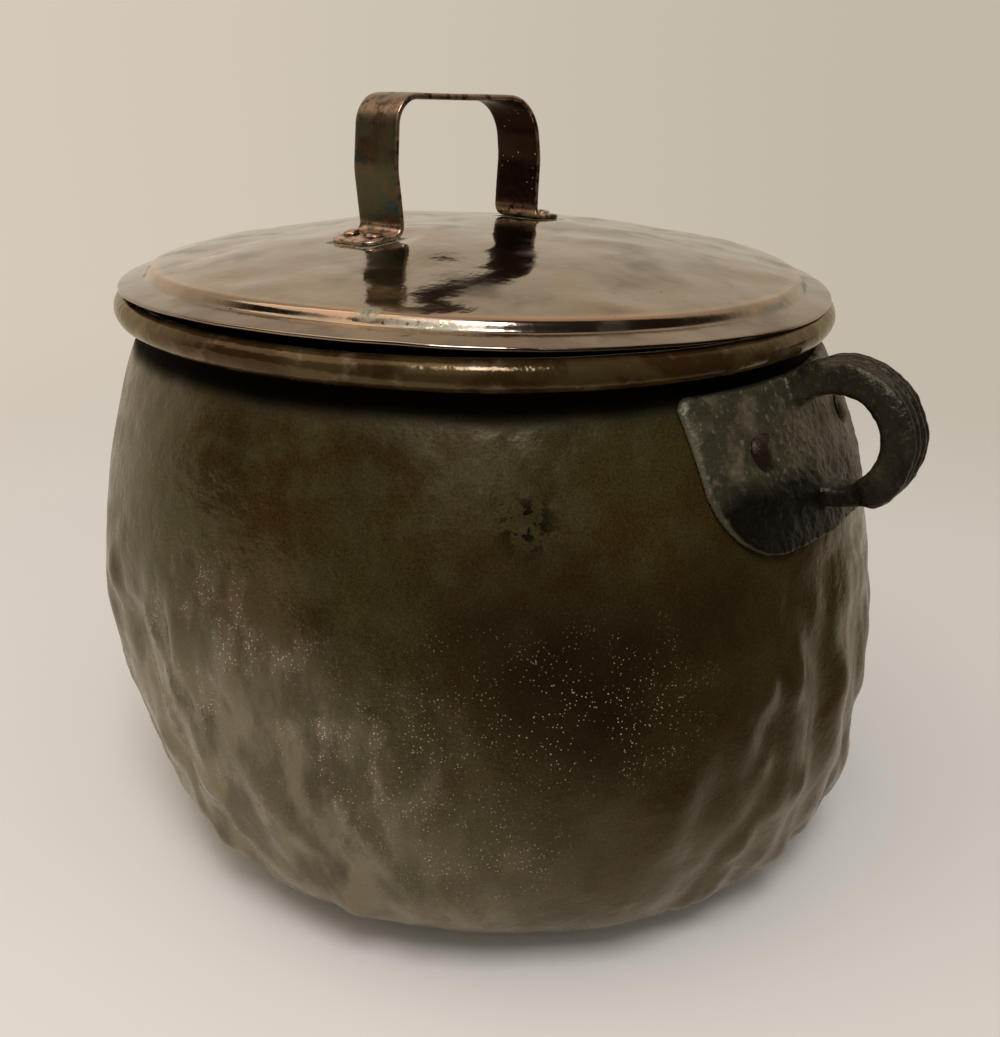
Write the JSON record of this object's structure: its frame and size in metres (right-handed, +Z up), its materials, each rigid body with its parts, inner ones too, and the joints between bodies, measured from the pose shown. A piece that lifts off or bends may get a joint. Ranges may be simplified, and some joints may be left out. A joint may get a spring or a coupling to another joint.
{
  "type": "lidded copper cauldron",
  "caption": "Round-bellied copper cauldron with a rolled rim, riveted iron lugs with reeded finger loops, and a loose stepped lid with a riveted strap handle.",
  "frame": {"origin": "under the middle of the box round the whole part, on the surface that the cauldron stands on", "axes": "+Z up, square to the flat base, +X along the line from the left lug to the right one, +Y across it"},
  "size_m": [0.5176, 0.4507, 0.4269],
  "materials": {
    "patina_copper": "dark brown patina, hammered, satin",
    "lid_copper": "worn polish",
    "strap_copper": "brown patina, satin",
    "lug_iron": "rough cast"
  },
  "bodies": {
    "root": {"cauldron_base": "patina_copper", "cauldron_wall": "patina_copper", "cauldron_rim": "patina_copper", "lid": "lid_copper", "lid_handle": "strap_copper", "lid_rivet_front_1": "strap_copper", "lid_rivet_front_2": "strap_copper", "lid_rivet_back_1": "strap_copper", "lid_rivet_back_2": "strap_copper", "lug_right": "lug_iron", "lug_left": "lug_iron", "lug_right_rivet_front": "lug_iron", "lug_right_rivet_back": "lug_iron", "lug_left_rivet_front": "lug_iron", "lug_left_rivet_back": "lug_iron"}
  },
  "joints": []
}
